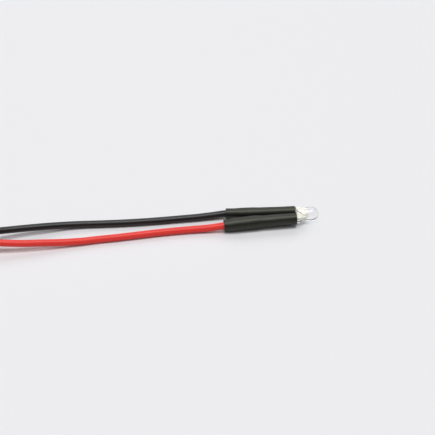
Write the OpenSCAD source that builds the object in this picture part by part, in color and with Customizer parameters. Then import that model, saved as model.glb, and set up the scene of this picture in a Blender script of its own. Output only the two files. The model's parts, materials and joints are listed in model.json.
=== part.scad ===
// Clear 3 mm through-hole lamp with its leads soldered to two hook-up wires under shrink sleeves.
// Millimetres. The origin is on the lamp's axis at the front face of its flange, +X runs out of the dome,
// +Y is the cathode side and +Z is up. The lamp lies on a flat surface, half a flange below the axis.

/* [Lens] */
// Diameter of the clear body
lens_d = 3.0; // [2.9:0.05:3.1]
// Length of the epoxy from its base to the tip of the dome
lens_len = 4.8; // [4.6:0.1:5.6]
// Diameter of the flange
flange_d = 3.6; // [3.5:0.05:3.9]
// Thickness of the flange
flange_t = 1.0; // [0.8:0.1:1.2]
// Distance from the axis to the flat that marks the cathode
flange_flat = 1.62; // [1.58:0.01:1.7]
// Chamfer round both edges of the flange
flange_chamfer = 0.08; // [0.04:0.01:0.12]

/* [Lead frame] */
// Distance between the two leads
lead_pitch = 2.54; // [2.46:0.02:2.6]
// Width and thickness of the square leads
lead_w = 0.45; // [0.4:0.01:0.48]
// Length of the trimmed leads behind the lens
lead_free = 6.0; // [5.6:0.1:6.2]
// Width across the two shoulders inside the lens
frame_w = 2.5; // [2.4:0.02:2.6]
// Height of the cathode anvil over the front of the flange
anvil_h = 1.35; // [1.25:0.05:1.6]
// Height of the anode post over the front of the flange
post_h = 1.15; // [1.0:0.05:1.4]
// Gap between the anvil and the post
frame_gap = 0.2; // [0.14:0.02:0.24]
// Distance of the gap from the axis beside the cup
gap_y = 0.72; // [0.7:0.01:0.76]
// Height at which the gap turns to a slant
gap_x = 0.7; // [0.6:0.05:0.8]

/* [Cup and chip] */
// Diameter of the reflector cup at its rim
cup_d = 0.86; // [0.8:0.02:0.9]
// Diameter of the floor of the cup
cup_floor_d = 0.56; // [0.5:0.02:0.6]
// Depth of the cup
cup_depth = 0.35; // [0.25:0.05:0.4]
// Metal around the cup
cup_wall = 0.14; // [0.1:0.02:0.16]
// Side of the square chip
chip_w = 0.3; // [0.24:0.02:0.34]
// Thickness of the chip
chip_t = 0.12; // [0.1:0.01:0.16]
// Thickness of the glue under the chip
glue_t = 0.03; // [0.02:0.01:0.04]
// Diameter of the bond wire
bond_d = 0.06; // [0.04:0.01:0.08]

/* [Sleeves] */
// Length of the sleeve on the cathode lead
cathode_sleeve_len = 14.7; // [13.5:0.1:16]
// Outer diameter of the sleeve on the cathode lead
cathode_sleeve_d = 2.2; // [2.2:0.02:2.3]
// Outer diameter of that sleeve where the wire's insulation starts
cathode_swell_d = 2.36; // [2.3:0.02:2.4]
// Length of the sleeve on the anode lead
anode_sleeve_len = 15.5; // [15.2:0.1:17]
// Outer diameter of the sleeve on the anode lead
anode_sleeve_d = 2.5; // [2.46:0.02:2.54]
// Outer diameter of that sleeve over the resistor
anode_bulge_d = 2.82; // [2.7:0.02:2.9]
// Wall of both shrunk sleeves
sleeve_wall = 0.22; // [0.18:0.01:0.22]

/* [Resistor and solder] */
// Diameter of the resistor's end caps
resistor_d = 2.0; // [1.8:0.05:2.1]
// Diameter of the resistor between its caps
resistor_waist_d = 1.76; // [1.6:0.04:1.78]
// Length of the resistor's body
resistor_len = 3.2; // [3.0:0.1:3.4]
// Diameter of the resistor's leads
resistor_lead_d = 0.45; // [0.4:0.01:0.48]
// Distance of the resistor's middle from the base of the lens
resistor_at = 10.4; // [10.2:0.1:10.5]
// Diameter of the solder joints
solder_d = 1.16; // [1.1:0.02:1.2]

/* [Wires] */
// Outer diameter of the insulated wires
wire_d = 1.5; // [1.4:0.02:1.5]
// Diameter of the tinned strands
strand_d = 0.6; // [0.54:0.02:0.62]
// Length of the tinned free ends
tinned_len = 5.0; // [3:0.5:8]
// Length of black insulation between the hank and the tinned end
black_tail_len = 13; // [12:0.5:16]
// Length of red insulation between the hank and the tinned end
red_tail_len = 9.5; // [9:0.5:12]

/* [Hank] */
// Length of the hank's straight runs
run_len = 14; // [12:0.5:18]
// Radius of the inner folds, at the middle of the wire
fold_r = 4.5; // [4.5:0.1:4.8]
// Space between the wires in the hank
hank_gap = 0.1; // [0.08:0.01:0.14]
// Thickness of the tie's strip
tie_t = 0.3; // [0.24:0.02:0.34]
// Width of the tie's strip
tie_w = 2.4; // [1.6:0.1:4]
// Diameter of the tie's twisted ends
twist_d = 1.0; // [0.8:0.05:1.2]
// Length of the tie's twisted ends
twist_len = 6; // [4:0.5:8]

/* [Hidden] */

// Facets of a circle, and sides of a wire's tube
round_fn = 48;
tube_sides = 8;
// Least room between two pieces that don't touch
clear = 0.02;

// The surface that everything lies on
floor_z = -flange_d / 2;
base_x = -flange_t;
lens_r = lens_d / 2;
dome_x = lens_len - flange_t - lens_r;

// Leads inside the lens: shoulders, slanted gap and post
lead_y = lead_pitch / 2;
lead_in = lead_y - lead_w / 2;
lead_out = lead_y + lead_w / 2;
shoulder_x = 0.05;
shoulder_run = 0.25;
slant = gap_x - gap_y;
half_gap = frame_gap / 2;
slant_shift = half_gap * sqrt(2);
post_peak_y = 0.25;
post_foot = 0.2;

// Cup, chip and bond wire, stacked up from the floor of the cup
cup_r = cup_d / 2 + cup_wall;
cup_base = 0.2;
cup_floor_x = anvil_h - cup_depth;
chip_x = cup_floor_x + glue_t;
chip_top = chip_x + chip_t;
post_pad_y = -(gap_y + half_gap + frame_w / 2) / 2;
bond_bend_x = max(chip_top, post_h) + 0.05;
bond_r = -post_pad_y / 2;
bond_foot_d = 2.4 * bond_d;
bond_foot_t = 0.02;

// Sleeve directions: each turns out a little and drops until it rests on the surface
cathode_splay_angle = -6.6;
anode_splay_angle = 0.7;
cathode_axis_y = lead_y;
anode_axis_y = -lead_y;
bulge_at = resistor_at + 0.8;
bulge_flat = resistor_len / 2 + 0.6;
bulge_ramp = 2.0;
joint_at = 5.1;
cathode_strip_at = 9.0;
cathode_swell_at = cathode_strip_at + 1.1;
cathode_swell_flat = 1.1;
cathode_swell_ramp = 1.8;
cathode_drop = asin((flange_d - cathode_sleeve_d) / 2 / cathode_sleeve_len);
anode_drop = asin(min((flange_d - anode_sleeve_d) / 2 / anode_sleeve_len,
                      (flange_d - anode_bulge_d) / 2 / (bulge_at + bulge_flat)));
sleeve_steps = 28;

// Stations of the joints along the sleeves, from the base of the lens
lap_start = 4.1;
strand_off = lead_w / 2 + strand_d / 2 + clear;
resistor_off = lead_w / 2 + resistor_lead_d / 2 + clear;
rear_off = resistor_lead_d / 2 + strand_d / 2 + clear;
lap_end = lead_free + 0.35;
joggle = 1.1;
resistor_start = resistor_at - resistor_len / 2;
resistor_end = resistor_at + resistor_len / 2;
rear_lead_end = resistor_end + 1.25;
anode_strip_at = resistor_end + 2.4;
rear_lap_start = resistor_end + 0.5;
rear_lap_end = rear_lead_end + 0.05;
rear_centred_at = anode_strip_at - 0.3;
solder_half = 1.3;
rear_solder_half = 0.65;
solder_steps = 12;

// The hank: red turns run outside the black ones, and each wire comes in on top and leaves underneath
hank_x = -73.5;
hank_y = 3.5;
black_fold_r = fold_r;
red_fold_r = fold_r + wire_d + hank_gap;
hank_end_x = hank_x - run_len;
low_z = floor_z + tie_t + wire_d / 2;
high_z = low_z + wire_d + hank_gap / 2;
drop_angle = 118;
land_angle = 104;
black_run_y = hank_y - black_fold_r;
red_run_y = hank_y - red_fold_r;

// Routes of the wires between the sleeves and the hank: X, Y and height over the surface, chosen by hand
black_route = [
    [-18.5, 2.9, 0.9], [-22, 2.75, 0.8], [-26, 2.7, 0.75], [-30, 2.6, 0.75], [-34, 2.6, 0.75],
    [-38, 2.7, 0.75], [-42, 2.9, 0.75], [-46, 3.1, 0.8], [-50, 3.0, 1.0], [-54, 2.5, 1.4],
    [-58, 2.0, 1.7], [-62, 1.3, 2.1], [-66, 0.4, 2.6], [-69.5, -0.5, 2.6]
];
red_route = [
    [-19.5, -1.4, 1.0], [-23, -1.25, 0.8], [-27, -1.3, 0.75], [-31, -1.5, 0.75], [-35, -1.8, 0.75],
    [-39, -2.1, 0.75], [-43, -2.3, 0.75], [-47, -2.65, 0.85], [-51, -2.9, 1.1], [-55, -3.1, 1.5],
    [-59, -3.2, 1.8], [-63, -3.1, 2.2], [-67, -2.8, 2.6], [-70.5, -2.6, 2.6]
];
// Tails: distance behind the hank, Y and height over the surface
black_tail = [[3, -0.9, 0.95], [6.5, -0.4, 0.8], [10, 0.3, 0.75]];
red_tail = [[3, -2.7, 0.95], [6.5, -3.0, 0.8]];
black_end_y = 0.3;
red_end_y = -3.0;

function unit(v) = v / norm(v);
function smooth(t) = t <= 0 ? 0 : t >= 1 ? 1 : t * t * (3 - 2 * t);
function floored(p) = [p.x, p.y, floor_z + p.z];

// Direction of a sleeve that turns out by one angle and drops by the other, and a point along it
function sleeve_dir(turn, drop) = [-cos(drop) * cos(turn), -cos(drop) * sin(turn), -sin(drop)];
function along(axis_y, turn, drop, s) = [base_x, axis_y, 0] + s * sleeve_dir(turn, drop);

// Directions of a tube at each point of its path: both ends are given, the others halve the bend
function bend_dirs(path, first, last) = [
    for (i = [0 : len(path) - 1])
        i == 0 ? first : i == len(path) - 1 ? last
            : unit(unit(path[i + 1] - path[i]) + unit(path[i] - path[i - 1]))
];

// One ring of a tube, with a flat at its lowest side
function ring(p, dir, r, sides) =
    let (across = unit(cross([0, 0, 1], dir)), up = cross(dir, across))
    [for (k = [0 : sides - 1])
        let (a = 360 * (k + 0.5) / sides)
        p + r * (cos(a) * across + sin(a) * up)];

// A tube swept along a path, as one closed solid
module tube(path, r, first, last, sides = tube_sides) {
    dirs = bend_dirs(path, first, last);
    points = [for (i = [0 : len(path) - 1]) each ring(path[i], dirs[i], r, sides)];
    top = (len(path) - 1) * sides;
    walls = [
        for (i = [0 : len(path) - 2], k = [0 : sides - 1])
            let (a = i * sides + k, b = i * sides + (k + 1) % sides)
            [a, a + sides, b + sides, b]
    ];
    ends = [
        [for (k = [0 : sides - 1]) k],
        [for (k = [sides - 1 : -1 : 0]) top + k]
    ];
    polyhedron(points = points, faces = concat(walls, ends), convexity = 6);
}

// Children drawn along +Z come to lie along a sleeve, starting at the base of the lens
module in_sleeve(axis_y, turn, drop) {
    translate([base_x, axis_y, 0]) rotate([0, 0, turn]) rotate([0, -90 - drop, 0]) children();
}
module in_cathode_sleeve() {
    in_sleeve(cathode_axis_y, cathode_splay_angle, cathode_drop) children();
}
module in_anode_sleeve() {
    in_sleeve(anode_axis_y, anode_splay_angle, anode_drop) children();
}

// Clear epoxy: flange with one flat, body and dome, cast round the frame, the chip and the bond wire
module lens_outline() {
    polygon([
        [0, -flange_t], [flange_d / 2 - flange_chamfer, -flange_t],
        [flange_d / 2, flange_chamfer - flange_t], [flange_d / 2, -flange_chamfer],
        [flange_d / 2 - flange_chamfer, 0], [0, 0]
    ]);
    translate([0, -flange_t]) square([lens_r, dome_x + flange_t]);
    intersection() {
        translate([0, dome_x]) circle(r = lens_r);
        translate([0, dome_x]) square([lens_r, lens_r]);
    }
}
module led_lens() {
    color([0.93, 0.96, 1.0, 0.35]) difference() {
        rotate([0, 90, 0]) rotate_extrude($fn = round_fn) lens_outline($fn = round_fn);
        translate([-2 * flange_t, flange_flat, -flange_d]) cube([2 * flange_t, flange_d, 2 * flange_d]);
        cathode_lead();
        anode_lead();
        chip_adhesive();
        led_chip();
        bond_wire();
    }
}

// A square lead behind the lens, which starts just inside it
module free_lead() {
    bend_in = 0.12;
    translate([-lead_w / 2, -lead_w / 2, -bend_in]) cube([lead_w, lead_w, lead_free + bend_in]);
}

// Cathode: lead, shoulder, anvil with a slanted underside, and the cup that holds the chip
module cathode_lead() {
    color([0.86, 0.86, 0.84]) {
        difference() {
            union() {
                translate([0, 0, -lead_w / 2]) linear_extrude(lead_w) polygon([
                    [base_x, lead_in], [slant + slant_shift - lead_in, lead_in],
                    [slant + slant_shift + gap_y - half_gap, half_gap - gap_y],
                    [anvil_h, half_gap - gap_y], [anvil_h, frame_w / 2], [shoulder_x, frame_w / 2],
                    [shoulder_x - shoulder_run, lead_out], [base_x, lead_out]
                ]);
                translate([cup_floor_x - cup_base, 0, 0]) rotate([0, 90, 0])
                    cylinder(r = cup_r, h = cup_depth + cup_base, $fn = round_fn);
            }
            translate([cup_floor_x, 0, 0]) rotate([0, 90, 0])
                cylinder(d1 = cup_floor_d, d2 = cup_d, h = cup_depth, $fn = round_fn);
        }
        in_cathode_sleeve() free_lead();
    }
}

// Anode: lead, shoulder and the post that takes the bond wire
module anode_lead() {
    color([0.86, 0.86, 0.84]) {
        translate([0, 0, -lead_w / 2]) linear_extrude(lead_w) polygon([
            [base_x, -lead_out], [shoulder_x - shoulder_run, -lead_out], [shoulder_x, -frame_w / 2],
            [post_h, -frame_w / 2], [post_h, -gap_y - half_gap],
            [slant - slant_shift + gap_y + half_gap, -gap_y - half_gap],
            [slant - slant_shift - post_peak_y, post_peak_y],
            [slant - slant_shift - post_peak_y - post_foot, post_peak_y],
            [slant - slant_shift - post_peak_y - 2 * post_foot, -lead_in], [base_x, -lead_in]
        ]);
        in_anode_sleeve() free_lead();
    }
}

// Light-emitting chip on a dab of glue at the bottom of the cup
module led_chip() {
    color([0.92, 0.85, 0.45]) translate([chip_x, -chip_w / 2, -chip_w / 2])
        cube([chip_t, chip_w, chip_w]);
}
module chip_adhesive() {
    color([0.75, 0.75, 0.72]) translate([cup_floor_x, 0, 0]) rotate([0, 90, 0])
        cylinder(d = 1.5 * chip_w, h = glue_t, $fn = round_fn);
}

// Gold wire that loops from the chip over the rim of the cup to the post
module bond_leg(y, from_x) {
    translate([from_x, y, 0]) rotate([0, 90, 0]) {
        cylinder(d = bond_foot_d, h = bond_foot_t, $fn = 24);
        cylinder(d = bond_d, h = bond_bend_x - from_x, $fn = 24);
    }
}
module bond_wire() {
    color([0.95, 0.78, 0.32]) {
        bond_leg(0, chip_top);
        bond_leg(post_pad_y, post_h);
        translate([bond_bend_x, post_pad_y / 2, 0]) rotate([0, 0, -90])
            rotate_extrude(angle = 180, $fn = round_fn) translate([bond_r, 0]) circle(d = bond_d, $fn = 24);
    }
}

// A shrunk sleeve: a thin tube that swells over what it covers
function swell(s, at, flat, ramp) = smooth(1 - (abs(s - at) - flat) / ramp);
function sleeve_r(s, d, top_d, at, flat, ramp) = (d + (top_d - d) * swell(s, at, flat, ramp)) / 2;
module sleeve(len, d, top_d, at, flat, ramp, tilt) {
    // The end at the lens starts far enough back for its tilted rim to clear the epoxy
    seat = d / 2 * sin(tilt) + clear;
    stations = [for (i = [0 : sleeve_steps]) seat + (len - seat) * i / sleeve_steps];
    outer = [for (s = stations) [sleeve_r(s, d, top_d, at, flat, ramp), s]];
    inner = [for (i = [sleeve_steps : -1 : 0]) [outer[i].x - sleeve_wall, outer[i].y]];
    rotate_extrude($fn = round_fn) polygon(concat(outer, inner));
}
function tilt_of(turn, drop) = acos(cos(turn) * cos(drop));
module cathode_sleeve() {
    color([0.09, 0.09, 0.09]) in_cathode_sleeve()
        sleeve(cathode_sleeve_len, cathode_sleeve_d, cathode_swell_d, cathode_swell_at,
               cathode_swell_flat, cathode_swell_ramp, tilt_of(cathode_splay_angle, cathode_drop));
}
module anode_sleeve() {
    color([0.11, 0.11, 0.11]) in_anode_sleeve()
        sleeve(anode_sleeve_len, anode_sleeve_d, anode_bulge_d, bulge_at, bulge_flat, bulge_ramp,
               tilt_of(anode_splay_angle, anode_drop));
}

// Resistor in series with the anode: end caps and waist under one coat, with two round leads
module resistor_body() {
    cap = 0.28 * resistor_len;
    edge = 0.12;
    color([0.83, 0.72, 0.5]) in_anode_sleeve() translate([0, 0, resistor_start])
        rotate_extrude($fn = round_fn) polygon([
            [0, 0], [resistor_d / 2 - 2 * edge, 0], [resistor_d / 2, 2 * edge],
            [resistor_d / 2, cap - edge], [resistor_waist_d / 2, cap + edge],
            [resistor_waist_d / 2, resistor_len - cap - edge],
            [resistor_d / 2, resistor_len - cap + edge], [resistor_d / 2, resistor_len - 2 * edge],
            [resistor_d / 2 - 2 * edge, resistor_len], [0, resistor_len]
        ]);
}

// A round conductor that lies beside another at one end, and steps over to the middle of the sleeve
module stepped_conductor(lap_from, lap_to, off, centred_at, finish, d) {
    path = [[off, 0, lap_from], [off, 0, lap_to], [0, 0, centred_at], [0, 0, finish]];
    tube_z(path, d / 2, sign(finish - lap_from));
}
// The same tube for paths that run along Z, so its rings keep clear of the upright direction
module tube_z(path, r, way) {
    rotate([0, 90, 0]) tube([for (p = path) [-p.z, p.y, p.x]], r, [-way, 0, 0], [-way, 0, 0], 10);
}
module resistor_front_lead() {
    color([0.8, 0.8, 0.8]) in_anode_sleeve()
        stepped_conductor(lap_start, lap_end, resistor_off, lap_end + joggle, resistor_start,
                          resistor_lead_d);
}
module resistor_rear_lead() {
    color([0.8, 0.8, 0.8]) in_anode_sleeve() translate([0, 0, resistor_end])
        cylinder(d = resistor_lead_d, h = rear_lead_end - resistor_end, $fn = 24);
}
module black_wire_strands() {
    color([0.78, 0.75, 0.72]) in_cathode_sleeve()
        stepped_conductor(lap_start, lap_end, strand_off, lap_end + joggle, cathode_strip_at, strand_d);
}
module red_wire_strands() {
    color([0.78, 0.75, 0.72]) in_anode_sleeve()
        stepped_conductor(rear_lap_start, rear_lap_end, rear_off, rear_centred_at, anode_strip_at,
                          strand_d);
}

// Solder round two conductors that lie side by side, thick in the middle and thin at its ends
module solder_joint(at, half, off) {
    outline = [
        for (i = [0 : solder_steps])
            let (t = 2 * i / solder_steps - 1)
            [solder_d / 2 * sqrt(max(0.16, 1 - t * t)), at + half * t]
    ];
    translate([off / 2, 0, 0]) rotate_extrude($fn = 32)
        polygon(concat([[0, at - half]], outline, [[0, at + half]]));
}
module cathode_solder() {
    color([0.72, 0.73, 0.74]) difference() {
        in_cathode_sleeve() solder_joint(joint_at, solder_half, strand_off);
        cathode_lead();
        black_wire_strands();
    }
}
module anode_solder() {
    color([0.72, 0.73, 0.74]) difference() {
        in_anode_sleeve() solder_joint(joint_at, solder_half, resistor_off);
        anode_lead();
        resistor_front_lead();
    }
}
module resistor_solder() {
    color([0.72, 0.73, 0.74]) difference() {
        in_anode_sleeve() solder_joint((rear_lap_start + rear_lead_end) / 2, rear_solder_half, rear_off);
        resistor_rear_lead();
        red_wire_strands();
    }
}

// Insulated wires from inside the sleeves to the top layer of the hank
module sleeved_wire(route, axis_y, turn, drop, strip_at, mouth_at, run_y) {
    inside = [for (s = [strip_at, (strip_at + mouth_at) / 2, mouth_at]) along(axis_y, turn, drop, s)];
    path = concat(inside, [for (p = route) floored(p)], [[hank_x, run_y, high_z]]);
    tube(path, wire_d / 2, sleeve_dir(turn, drop), [-1, 0, 0]);
}
module black_wire() {
    color([0.06, 0.06, 0.06])
        sleeved_wire(black_route, cathode_axis_y, cathode_splay_angle, cathode_drop, cathode_strip_at,
                     cathode_sleeve_len, black_run_y);
}
module red_wire() {
    color([0.85, 0.12, 0.1])
        sleeved_wire(red_route, anode_axis_y, anode_splay_angle, anode_drop, anode_strip_at,
                     anode_sleeve_len, red_run_y);
}

// One wire's share of the hank: a lower layer that is open under the far fold, where the tails leave,
// and an upper layer that comes in along the near run and drops round that fold
module hank_outline(r) {
    for (x = [hank_x, hank_end_x]) translate([x, hank_y]) circle(r = r, $fn = 2 * round_fn);
    translate([hank_end_x, hank_y - r]) square([run_len, 2 * r]);
}
module hank_layers(r) {
    low = low_z - wire_d / 2;
    high = high_z + wire_d / 2;
    far = 3 * r;
    middle = [hank_end_x, hank_y];
    drop_ray = middle + far * [cos(270 - drop_angle), sin(270 - drop_angle)];
    land_ray = middle + far * [cos(270 - land_angle), sin(270 - land_angle)];
    difference() {
        translate([0, 0, low]) linear_extrude(high - low) difference() {
            hank_outline(r + wire_d / 2);
            hank_outline(r - wire_d / 2);
        }
        translate([0, 0, low + wire_d]) linear_extrude(2 * wire_d) polygon([
            middle, drop_ray, middle + [-far, far], [hank_x + far, hank_y + far],
            [hank_x + far, hank_y - far], [hank_x, hank_y - far], [hank_x, hank_y]
        ]);
        translate([0, 0, low - wire_d]) linear_extrude(2 * wire_d)
            polygon([middle, middle + [0, -far], middle + [-far, -far], land_ray]);
    }
}
module black_wire_hank() {
    color([0.06, 0.06, 0.06]) hank_layers(black_fold_r);
}
module red_wire_hank() {
    color([0.85, 0.12, 0.1]) hank_layers(red_fold_r);
}

// Tails from the lower layer of the hank to the tinned ends
module wire_tail(run_y, tail, len, end_y) {
    bends = [for (p = tail) floored([hank_end_x - p.x, p.y, p.z])];
    path = concat([[hank_end_x, run_y, low_z]], bends,
                  [floored([hank_end_x - len, end_y, wire_d / 2])]);
    tube(path, wire_d / 2, [-1, 0, 0], [-1, 0, 0]);
}
module black_wire_tail() {
    color([0.06, 0.06, 0.06]) wire_tail(black_run_y, black_tail, black_tail_len, black_end_y);
}
module red_wire_tail() {
    color([0.85, 0.12, 0.1]) wire_tail(red_run_y, red_tail, red_tail_len, red_end_y);
}
module tinned_end(tail_len, y) {
    color([0.8, 0.8, 0.78]) translate([hank_end_x - tail_len, y, floor_z + wire_d / 2])
        rotate([0, -90, 0]) cylinder(d = strand_d, h = tinned_len, $fn = 32);
}
module black_wire_end() {
    tinned_end(black_tail_len, black_end_y);
}
module red_wire_end() {
    tinned_end(red_tail_len, red_end_y);
}

// Twist tie round the middle of the hank, with its ends twisted together on the lower side
module tie_section() {
    edge = red_fold_r + wire_d / 2;
    inner = black_fold_r - wire_d / 2;
    bottom = low_z - wire_d / 2 - floor_z;
    polygon([
        [-edge, bottom], [edge, bottom], [edge, bottom + wire_d],
        [-inner, high_z + wire_d / 2 - floor_z], [-edge, high_z + wire_d / 2 - floor_z]
    ]);
}
module hank_tie() {
    middle = hank_x - run_len / 2;
    color([0.92, 0.92, 0.9]) {
        translate([middle + tie_w / 2, hank_y, floor_z]) rotate([90, 0, -90]) linear_extrude(tie_w)
            mirror([1, 0]) difference() {
                offset(r = tie_t, $fn = 32) tie_section();
                offset(delta = clear / 2) tie_section();
            }
        translate([middle, hank_y + red_fold_r, low_z + wire_d / 2 + tie_t + twist_d / 2])
            rotate([0, 90, 0]) cylinder(d = twist_d, h = twist_len, $fn = 24);
    }
}

led_lens();
cathode_lead();
anode_lead();
led_chip();
chip_adhesive();
bond_wire();
cathode_sleeve();
anode_sleeve();
resistor_body();
resistor_front_lead();
resistor_rear_lead();
cathode_solder();
anode_solder();
resistor_solder();
black_wire_strands();
red_wire_strands();
black_wire();
red_wire();
black_wire_hank();
red_wire_hank();
black_wire_tail();
red_wire_tail();
black_wire_end();
red_wire_end();
hank_tie();
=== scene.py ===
# %% [markdown]
# # A pre-wired 3 mm LED
#
# This lesson dresses a small electronic part: a clear LED whose two leads run into black shrink
# sleeves, and from there into a black and a red hook-up wire. The exact solids come from the
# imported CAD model, which is loaded first and never moved. The scene adds what a CAD model leaves out:
# the clear lens that bends light, the lumps of a shrunk sleeve, round wires that lie in soft curves,
# twisted strands, and the finish of every surface.
#
# Everything is in metres in the CAD model's frame: the origin is on the LED's axis at the front of
# its flange, +X points out of the dome, +Y is the cathode side and +Z is up. The script counts in
# millimetres, because the numbers then read like the real part's, and scales at the last moment.

import json
import math

import bmesh
import bpy
import numpy as np
from mathutils import Matrix, Vector, noise


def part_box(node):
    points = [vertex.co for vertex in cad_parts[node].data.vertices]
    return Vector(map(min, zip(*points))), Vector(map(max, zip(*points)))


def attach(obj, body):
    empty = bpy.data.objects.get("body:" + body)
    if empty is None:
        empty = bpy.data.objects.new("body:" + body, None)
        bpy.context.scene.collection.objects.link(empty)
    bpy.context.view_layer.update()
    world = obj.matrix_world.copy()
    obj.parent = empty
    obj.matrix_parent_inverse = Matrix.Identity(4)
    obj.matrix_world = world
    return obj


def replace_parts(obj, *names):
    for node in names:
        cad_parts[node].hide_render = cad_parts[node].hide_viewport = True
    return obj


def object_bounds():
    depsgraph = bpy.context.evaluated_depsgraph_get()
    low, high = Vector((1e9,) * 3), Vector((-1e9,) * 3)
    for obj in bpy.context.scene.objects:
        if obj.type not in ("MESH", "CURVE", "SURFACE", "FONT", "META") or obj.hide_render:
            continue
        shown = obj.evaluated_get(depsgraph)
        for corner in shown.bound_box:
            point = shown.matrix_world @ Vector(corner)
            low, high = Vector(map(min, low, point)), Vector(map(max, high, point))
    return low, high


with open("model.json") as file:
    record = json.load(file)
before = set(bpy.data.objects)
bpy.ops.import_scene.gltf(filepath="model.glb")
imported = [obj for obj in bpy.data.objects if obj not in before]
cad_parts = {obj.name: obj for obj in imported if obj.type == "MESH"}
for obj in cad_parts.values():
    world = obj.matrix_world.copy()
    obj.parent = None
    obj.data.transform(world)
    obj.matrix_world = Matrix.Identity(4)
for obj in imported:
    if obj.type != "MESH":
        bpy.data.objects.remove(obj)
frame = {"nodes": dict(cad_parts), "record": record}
nodes = frame["nodes"]
cad_low, cad_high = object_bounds()
MM = 0.001
FLOOR = round(cad_low[2] / MM, 3)


def box_mm(node):
    """The lowest and highest corners of a CAD node, in millimetres."""
    return [np.round(np.array(corner) / MM, 3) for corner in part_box(node)]


print("CAD box in mm:", [round(x / MM, 2) for x in (*cad_low, *cad_high)])
print("everything lies on a surface at", FLOOR, "mm")

# %% [markdown]
# ## The camera
#
# A camera comes first, because it decides what a viewer sees of everything else. Small parts are
# photographed from far away with a long lens, which keeps parallel edges nearly parallel. The lens
# length follows from the width of the view: 92.55 mm of the surface fill the picture.

# %% Place the camera
def aim_camera(target, azimuth, elevation, distance, view_width):
    a, e = math.radians(azimuth), math.radians(elevation)
    back = Vector((math.sin(a) * math.cos(e), -math.cos(a) * math.cos(e), math.sin(e)))
    data = bpy.data.cameras.new("long_lens")
    data.sensor_width = 36
    data.lens = data.sensor_width * distance / view_width
    data.clip_start, data.clip_end = 0.01, 10
    camera = bpy.data.objects.new("camera", data)
    bpy.context.scene.collection.objects.link(camera)
    camera.location = Vector(target) * MM + back * distance * MM
    camera.rotation_euler = (-back).to_track_quat("-Z", "Y").to_euler()
    bpy.context.scene.camera = camera
    return camera


camera = aim_camera((-17.34, 3.23, FLOOR), azimuth=-6.5, elevation=38, distance=500, view_width=92.55)
print("lens of", round(camera.data.lens, 1), "mm")

# %% [markdown]
# ## Pieces from points
#
# Every piece here ends up as one object with a mesh, which rides on the CAD model's only body. The helper
# merges doubled points and turns the faces outwards, since a hole or an inside-out face would show.

# %% Make a piece
def piece(name, points, faces, slot):
    """A smooth mesh object from points in millimetres, merged, with its faces pointing outwards."""
    mesh = bpy.data.meshes.new(name)
    mesh.from_pydata([tuple(float(c) * MM for c in p) for p in points], [], faces)
    tidy = bmesh.new()
    tidy.from_mesh(mesh)
    bmesh.ops.remove_doubles(tidy, verts=tidy.verts, dist=0.0001 * MM)
    bmesh.ops.recalc_face_normals(tidy, faces=tidy.faces)
    tidy.to_mesh(mesh)
    tidy.free()
    obj = bpy.data.objects.new(name, mesh)
    bpy.context.scene.collection.objects.link(obj)
    return settle(obj)


def settle(obj):
    """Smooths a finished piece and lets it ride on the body."""
    obj.data.polygons.foreach_set("use_smooth", [True] * len(obj.data.polygons))
    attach(obj, "root")
    print(obj.name, "has", len(obj.data.polygons), "faces")
    return obj


# %% [markdown]
# ## A skin over rings
#
# A sleeve, a wire and a lens are all stacks of rings. One helper joins rings of equal size into a
# closed skin. A wire is closed with a fan of triangles at each end; a sleeve's rings run down the
# outside and back up the inside, so its last ring joins its first.

# %% Join rings
def skin(rings, loop=False):
    """Points and faces of a tube through rings. A loop joins the last ring to the first."""
    count, sides = len(rings), len(rings[0])
    points = [p for ring in rings for p in ring]
    faces = []
    for i in range(count if loop else count - 1):
        here, there = i * sides, ((i + 1) % count) * sides
        for k in range(sides):
            n = (k + 1) % sides
            faces.append((here + k, there + k, there + n, here + n))
    if not loop:
        for start in (0, (count - 1) * sides):
            middle = len(points)
            points.append(np.mean(points[start:start + sides], axis=0))
            faces += [(middle, start + k, start + (k + 1) % sides) for k in range(sides)]
    return points, faces


print("a square tube of two rings has", len(skin([[(0, 0, 0)] * 4] * 2)[1]), "faces")

# %% [markdown]
# ## Writing a finish as maths
#
# A finish is a small graph of shader nodes. A long list of links is hard to read, so a number in the
# graph is wrapped in a class whose plus and times add Math nodes: `0.3 + 0.1 * grain` is a graph.
# Colours don't go through Math nodes, which would turn them grey; a Mix node blends them.

# %% Numbers in a finish
class Level:
    """A value that varies over a surface, held as the socket that gives it."""

    def __init__(self, finish, socket):
        self.finish, self.socket = finish, socket

    def maths(self, operation, first, second):
        return self.finish.node("ShaderNodeMath", {"operation": operation}, {0: first, 1: second})

    def __add__(self, other):
        return self.maths("ADD", self, other)

    def __radd__(self, other):
        return self.maths("ADD", other, self)

    def __sub__(self, other):
        return self.maths("SUBTRACT", self, other)

    def __rsub__(self, other):
        return self.maths("SUBTRACT", other, self)

    def __mul__(self, other):
        return self.maths("MULTIPLY", self, other)

    def __rmul__(self, other):
        return self.maths("MULTIPLY", other, self)


print("a Level can be added, subtracted and multiplied, from either side")

# %% [markdown]
# ## One method for every other node
#
# The class below builds one material. Its `node` method adds any node: the settings first, such as a
# ramp's stops, and then the sockets, each a plain value or a Level to link.

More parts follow.
